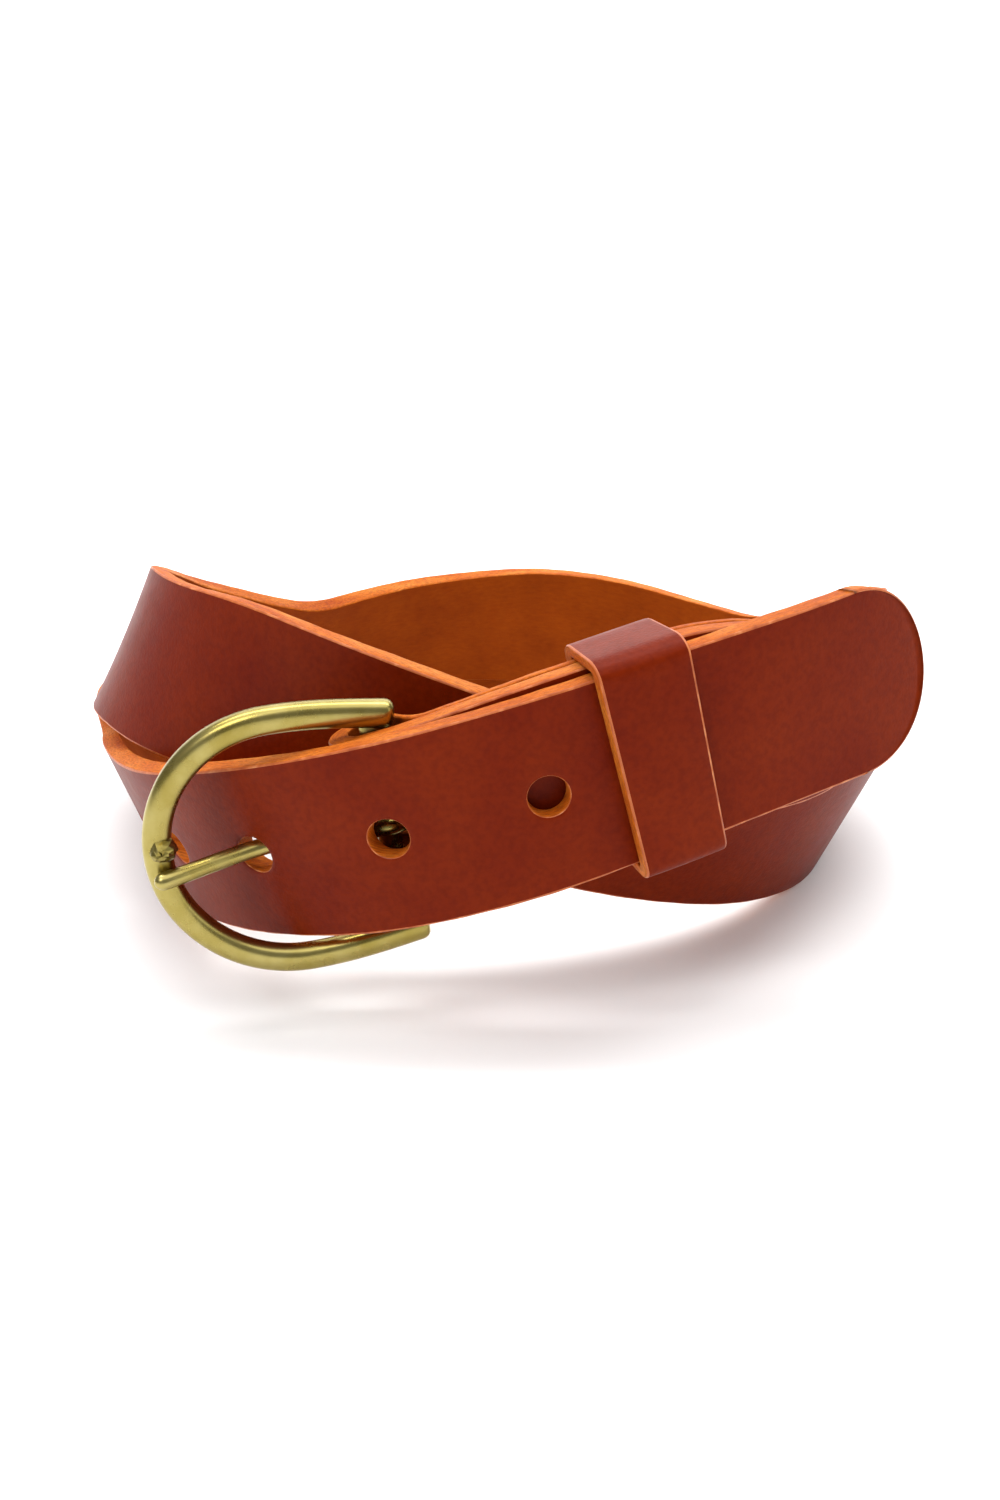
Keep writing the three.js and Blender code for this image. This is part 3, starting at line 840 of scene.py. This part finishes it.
def make_prong():
    build = Builder()
    line = through(prong_points())
    ahead = unit(np.gradient(line, axis=0))
    radius = PRONG_DIAMETER / 2
    turn = np.linspace(0, 2 * math.pi, PRONG_SIDES, endpoint=False)[:, None]
    side = unit(np.cross(ahead[0], UP))
    frames, rings = [], []
    for point, way in zip(line, ahead):
        side = unit(side - way * (side @ way))
        other = np.cross(way, side)
        frames.append((side, other))
        rings.append(point + radius * (np.cos(turn) * side + np.sin(turn) * other))
    head = round_end(line[0], -ahead[0], *frames[0], radius, radius * 0.6)[::-1]
    tail = round_end(line[-1], ahead[-1], *frames[-1], radius, radius * 1.1)
    sweep(build, head + rings + tail, [0] * PRONG_SIDES)
    prong = build.make("buckle_prong")
    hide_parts("prong")
    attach(prong, "tongue")
    return prong


# ---- Keeper ----


def keeper_outline(corner_steps=6, flat_steps=20, side_steps=5):
    """Inner line of the loop in the strap's cross-section, with the outward way at each point."""
    front = STRAP_THICKNESS / 2 + KEEPER_CLEARANCE
    back = -(STRAP_THICKNESS * 1.5 + STRAND_GAP + LAYER_GAP + FOLD_THICKNESS + KEEPER_CLEARANCE)
    reach = HALF + KEEPER_RISE + KEEPER_CLEARANCE - KEEPER_CORNER
    corners = [
        (reach, front - KEEPER_CORNER, 0),
        (-reach, front - KEEPER_CORNER, 90),
        (-reach, back + KEEPER_CORNER, 180),
        (reach, back + KEEPER_CORNER, 270),
    ]
    spots, ways = [], []
    for k, (v, n, start) in enumerate(corners):
        for i in range(corner_steps + 1):
            angle = math.radians(start + 90 * i / corner_steps)
            way = (math.cos(angle), math.sin(angle))
            spots.append((v + KEEPER_RISE + KEEPER_CORNER * way[0], n + KEEPER_CORNER * way[1]))
            ways.append(way)
        following = corners[(k + 1) % 4]
        count = flat_steps if k % 2 == 0 else side_steps
        last, way = np.array(spots[-1]), ways[-1]
        finish = np.array([following[0] + KEEPER_RISE, following[1]]) + KEEPER_CORNER * np.array(way)
        for i in range(1, count):
            spots.append(tuple(last + (finish - last) * i / count))
            ways.append(way)
    return np.array(spots), np.array(ways)


def make_keeper():
    build = Builder()
    spots, ways = keeper_outline()
    profile = edge_profile(KEEPER_THICKNESS)
    start = PRONG_HOLE + KEEPER_START
    width = KEEPER_WIDTH - KEEPER_TRIM
    inner = np.linspace(CORNER_RADIUS, width - CORNER_RADIUS, KEEPER_COLUMNS)
    outs = np.array([p[0] for p in profile])[1:-1]
    depths = np.array([p[1] for p in profile])[1:-1]
    lengths = np.concatenate([
        inner,
        inner[-1] + outs,
        inner[::-1],
        (CORNER_RADIUS - outs)[::-1],
    ])
    below = np.concatenate([
        np.zeros(KEEPER_COLUMNS),
        depths,
        np.full(KEEPER_COLUMNS, KEEPER_THICKNESS),
        depths[::-1],
    ])
    around = np.concatenate([[0], np.cumsum(np.linalg.norm(np.diff(spots, axis=0), axis=1))])
    rings = []
    for (v, n), (wv, wn) in zip(spots, ways):
        grow = 1 - below / KEEPER_THICKNESS
        across = v + wv * grow * KEEPER_TOP_THICKNESS
        bulge = KEEPER_BULGE * max(wn, 0) * (1 - (2 * lengths / width - 1) ** 2)
        bulge = bulge * (1 - (v / HALF) ** 2 * 0.5)
        rings.append(place(start + lengths, across, n + wn * grow * KEEPER_THICKNESS + bulge * grow))
    flats = KEEPER_COLUMNS - 1
    slots = [GRAIN] * flats + edge_slots() + [FLESH] * flats + edge_slots()[::-1]
    sweep(build, rings, slots, closed=True, travel=around)
    keeper = build.make("keeper_loop")
    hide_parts("keeper")
    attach(keeper, "loop")
    return keeper


# ---- Materials ----


class Paint:
    """A procedural material and short ways to wire it."""

    def __init__(self, name):
        self.material = bpy.data.materials.new(name)
        self.material.use_nodes = True
        self.tree = self.material.node_tree
        self.shader = self.tree.nodes["Principled BSDF"]

    def node(self, kind, **values):
        node = self.tree.nodes.new(kind)
        for key, value in values.items():
            if key in node.inputs:
                node.inputs[key].default_value = value
            else:
                setattr(node, key, value)
        return node

    def link(self, source, target):
        self.tree.links.new(source, target)

    def place(self, use_uv, scale):
        spot = self.node("ShaderNodeTexCoord")
        mapping = self.node("ShaderNodeMapping")
        mapping.inputs["Scale"].default_value = scale
        self.link(spot.outputs["UV" if use_uv else "Object"], mapping.inputs["Vector"])
        return mapping.outputs["Vector"]

    def noise(self, vector, scale, detail=4, roughness=0.55):
        noise = self.node("ShaderNodeTexNoise", Scale=scale, Detail=detail, Roughness=roughness)
        self.link(vector, noise.inputs["Vector"])
        return noise.outputs["Fac"]

    def ramp(self, factor, stops):
        ramp = self.node("ShaderNodeValToRGB")
        elements = ramp.color_ramp.elements
        while len(elements) < len(stops):
            elements.new(0.5)
        for element, (at, colour) in zip(elements, stops):
            element.position = at
            element.color = (*colour, 1)
        self.link(factor, ramp.inputs["Fac"])
        return ramp.outputs["Color"]

    def mix(self, factor, a, b, kind="MIX"):
        mix = self.node("ShaderNodeMix", data_type="RGBA", blend_type=kind)
        for value, socket in ((factor, 0), (a, 6), (b, 7)):
            if hasattr(value, "links"):
                self.link(value, mix.inputs[socket])
            else:
                mix.inputs[socket].default_value = value
        return mix.outputs[2]

    def bump(self, height, strength, distance, normal=None):
        bump = self.node("ShaderNodeBump", Strength=strength, Distance=distance)
        self.link(height, bump.inputs["Height"])
        if normal is not None:
            self.link(normal, bump.inputs["Normal"])
        return bump.outputs["Normal"]

    def set(self, **values):
        for key, value in values.items():
            self.shader.inputs[key.replace("_", " ")].default_value = value


def linear(red, green, blue):
    """Screen colour, 0 to 255, as the shader's linear one."""
    def one(value):
        value /= 255
        return value / 12.92 if value <= 0.04045 else ((value + 0.055) / 1.055) ** 2.4

    return tuple(one(v) for v in (red, green, blue))


def grain_leather():
    paint = Paint("grain_leather")
    spot = paint.place(False, (1, 1, 1))
    broad = paint.noise(spot, 45, 3)
    base = paint.ramp(broad, [(0.3, linear(110, 26, 1)), (0.7, linear(124, 37, 2))])
    cell = paint.node("ShaderNodeTexVoronoi", Scale=2000)
    cell.feature = "F1"
    paint.link(spot, cell.inputs["Vector"])
    fine = paint.noise(spot, 900, 6)
    specks = paint.ramp(fine, [(0.35, (0.82, 0.78, 0.74)), (0.6, (1, 1, 1))])
    paint.link(paint.mix(1.0, base, specks, "MULTIPLY"), paint.shader.inputs["Base Color"])
    rough = paint.node("ShaderNodeMapRange")
    rough.inputs["To Min"].default_value = 0.32
    rough.inputs["To Max"].default_value = 0.46
    paint.link(paint.noise(spot, 300, 4), rough.inputs["Value"])
    paint.link(rough.outputs["Result"], paint.shader.inputs["Roughness"])
    pebbles = paint.bump(cell.outputs["Distance"], 0.22, 0.0001)
    soft = paint.bump(fine, 0.18, 0.00015, pebbles)
    paint.link(paint.bump(broad, 0.15, 0.0006, soft), paint.shader.inputs["Normal"])
    paint.set(Specular_IOR_Level=0.07)
    return paint.material


def flesh_leather():
    paint = Paint("flesh_leather")
    spot = paint.place(True, (0.35, 1, 1))
    fibres = paint.noise(spot, 1300, 6, 0.65)
    mottled = paint.noise(paint.place(False, (1, 1, 1)), 70, 4)
    base = paint.ramp(mottled, [(0.3, linear(138, 56, 0)), (0.7, linear(156, 68, 1))])
    streaks = paint.ramp(fibres, [(0.3, (0.82, 0.8, 0.76)), (0.7, (1.05, 1.05, 1.0))])
    paint.link(paint.mix(1.0, base, streaks, "MULTIPLY"), paint.shader.inputs["Base Color"])
    paint.link(paint.bump(fibres, 0.35, 0.0002), paint.shader.inputs["Normal"])
    paint.set(Roughness=0.8, Specular_IOR_Level=0.1)
    return paint.material


def cut_edge():
    paint = Paint("cut_edge")
    spot = paint.place(True, (0.3, 1, 1))
    fibres = paint.noise(spot, 2600, 8, 0.7)
    patches = paint.noise(paint.place(True, (0.25, 1, 1)), 260, 4)
    base = paint.ramp(patches, [
        (0.3, linear(172, 74, 4)),
        (0.5, linear(196, 100, 12)),
        (0.75, linear(216, 134, 52)),
    ])
    flecks = paint.ramp(fibres, [(0.35, (0.55, 0.45, 0.36)), (0.58, (1.08, 1.06, 1.02))])
    paint.link(paint.mix(1.0, base, flecks, "MULTIPLY"), paint.shader.inputs["Base Color"])
    paint.link(paint.bump(fibres, 0.55, 0.0003), paint.shader.inputs["Normal"])
    paint.set(Roughness=0.68, Specular_IOR_Level=0.2)
    return paint.material


# Painted highlight: a lighter, patchy tan on the rounded grain-side corner of cut edges and hole lips,
# standing in for the light that corner catches
def painted_corner_highlight():
    paint = Paint("painted_corner_highlight")
    highlight_patches = paint.noise(paint.place(True, (0.4, 1, 1)), 900, 5)
    base = paint.ramp(highlight_patches, [
        (0.3, linear(150, 62, 18)),
        (0.55, linear(190, 98, 44)),
        (0.75, linear(224, 146, 92)),
    ])
    paint.link(base, paint.shader.inputs["Base Color"])
    paint.link(paint.bump(highlight_patches, 0.3, 0.0001), paint.shader.inputs["Normal"])
    paint.set(Roughness=0.45, Specular_IOR_Level=0.35)
    return paint.material


def brass(name="brass", tone=1.0, roughness=0.27):
    paint = Paint(name)
    spot = paint.place(False, (1, 1, 1))
    clouds = paint.noise(spot, 120, 4)
    light = tuple(tone * c for c in linear(172, 158, 96))
    dark = tuple(tone * c for c in linear(150, 134, 66))
    paint.link(paint.ramp(clouds, [(0.35, dark), (0.65, light)]), paint.shader.inputs["Base Color"])
    satin = paint.noise(spot, 2200, 3)
    paint.link(paint.bump(satin, 0.05, 0.00005), paint.shader.inputs["Normal"])
    rough = paint.node("ShaderNodeMapRange")
    rough.inputs["To Min"].default_value = roughness * 0.8
    rough.inputs["To Max"].default_value = roughness * 1.25
    paint.link(clouds, rough.inputs["Value"])
    paint.link(rough.outputs["Result"], paint.shader.inputs["Roughness"])
    paint.set(Metallic=1.0)
    return paint.material


def steel():
    paint = Paint("wire_steel")
    clouds = paint.noise(paint.place(False, (1, 1, 1)), 500, 4)
    base = paint.ramp(clouds, [(0.3, (0.35, 0.35, 0.36)), (0.7, (0.6, 0.6, 0.6))])
    paint.link(base, paint.shader.inputs["Base Color"])
    paint.link(paint.bump(clouds, 0.1, 0.0001), paint.shader.inputs["Normal"])
    paint.set(Metallic=1.0, Roughness=0.32)
    return paint.material


def dress(thing, *materials):
    """Puts materials on a mesh and keeps each face's slot number."""
    slots = np.zeros(len(thing.data.polygons), np.int32)
    thing.data.polygons.foreach_get("material_index", slots)
    thing.data.materials.clear()
    for material in materials:
        thing.data.materials.append(material)
    thing.data.polygons.foreach_set("material_index", slots)


make_camera()
make_world()
make_floor()
make_lights()

leather = (grain_leather(), flesh_leather(), cut_edge(), painted_corner_highlight())
metal = brass()
dress(make_strap(), *leather)
dress(make_keeper(), *leather)
dress(make_buckle_frame(), metal)
dress(make_nub(), brass("cast_brass", 0.75, 0.3))
dress(make_prong(), metal)
stud_metal = brass("stud_brass", 0.9, 0.25)
for node in ("front_post", "front_screw", "rear_post", "rear_screw"):
    dress(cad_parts[node], stud_metal)
dress(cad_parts["keeper_staple"], steel())
